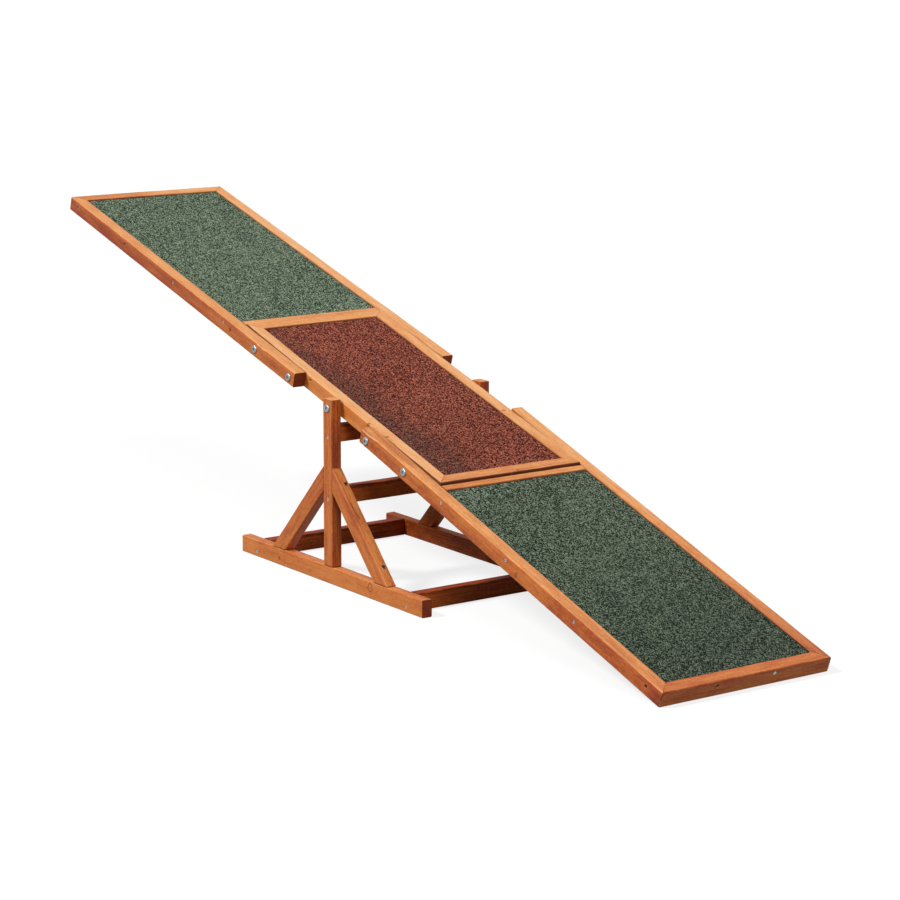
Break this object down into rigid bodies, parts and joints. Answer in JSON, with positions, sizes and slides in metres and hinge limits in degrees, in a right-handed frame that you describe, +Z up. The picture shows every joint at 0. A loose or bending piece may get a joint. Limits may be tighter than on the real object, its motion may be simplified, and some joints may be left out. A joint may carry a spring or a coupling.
{
  "type": "dog agility seesaw",
  "caption": "Low timber dog agility seesaw: a bolted plank of framed sections with gritty felt walking surfaces, pivoting on a braced stand.",
  "frame": {"origin": "on the ground straight below the pivot, midway across the stand", "axes": "+X along the plank towards the end that rests on the ground, +Y across it to the far side, +Z up"},
  "size_m": [1.6768, 0.3176, 0.5377],
  "materials": {
    "timber": "planed softwood with an orange-brown satin stain",
    "board": "plain plywood, unstained",
    "green_felt": "mineral-surfaced bitumen felt, a stiff gritty green sheet",
    "red_felt": "mineral-surfaced bitumen felt, a stiff gritty dark red sheet",
    "zinc": "bright zinc plating"
  },
  "bodies": {
    "stand": {"base_cross_bar_high": "timber", "base_cross_bar_low": "timber", "base_rail_far": "timber", "base_rail_near": "timber", "brace_far_high": "timber", "brace_far_low": "timber", "brace_near_high": "timber", "brace_near_low": "timber", "pivot_washer_far": "zinc", "pivot_washer_near": "zinc", "post_cross_bar_middle": "timber", "post_cross_bar_upper": "timber", "post_far": "timber", "post_near": "timber"},
    "plank": {"centre_board": "board", "centre_end_rail_high": "timber", "centre_end_rail_low": "timber", "centre_felt": "red_felt", "centre_side_rail_far": "timber", "centre_side_rail_near": "timber", "high_board": "board", "high_cross_rail": "timber", "high_end_rail": "timber", "high_felt": "green_felt", "high_side_rail_far": "timber", "high_side_rail_near": "timber", "joint_bolt_high_far_inner": "zinc", "joint_bolt_high_far_outer": "zinc", "joint_bolt_high_near_inner": "zinc", "joint_bolt_high_near_outer": "zinc", "joint_bolt_low_far_inner": "zinc", "joint_bolt_low_far_outer": "zinc", "joint_bolt_low_near_inner": "zinc", "joint_bolt_low_near_outer": "zinc", "joint_insert_high_far_inner": "zinc", "joint_insert_high_far_outer": "zinc", "joint_insert_high_near_inner": "zinc", "joint_insert_high_near_outer": "zinc", "joint_insert_low_far_inner": "zinc", "joint_insert_low_far_outer": "zinc", "joint_insert_low_near_inner": "zinc", "joint_insert_low_near_outer": "zinc", "low_board": "board", "low_cross_rail": "timber", "low_end_rail": "timber", "low_felt": "green_felt", "low_side_rail_far": "timber", "low_side_rail_near": "timber", "pivot_bolt_far": "zinc", "pivot_bolt_near": "zinc", "pivot_insert_far": "zinc", "pivot_insert_near": "zinc"}
  },
  "joints": [
    {"name": "plank_on_stand", "type": "hinge", "parent": "stand", "child": "plank", "pos_m": [0, 0, 0.284], "axis": [0, -1, 0], "range_deg": [0, 34.2]}
  ]
}
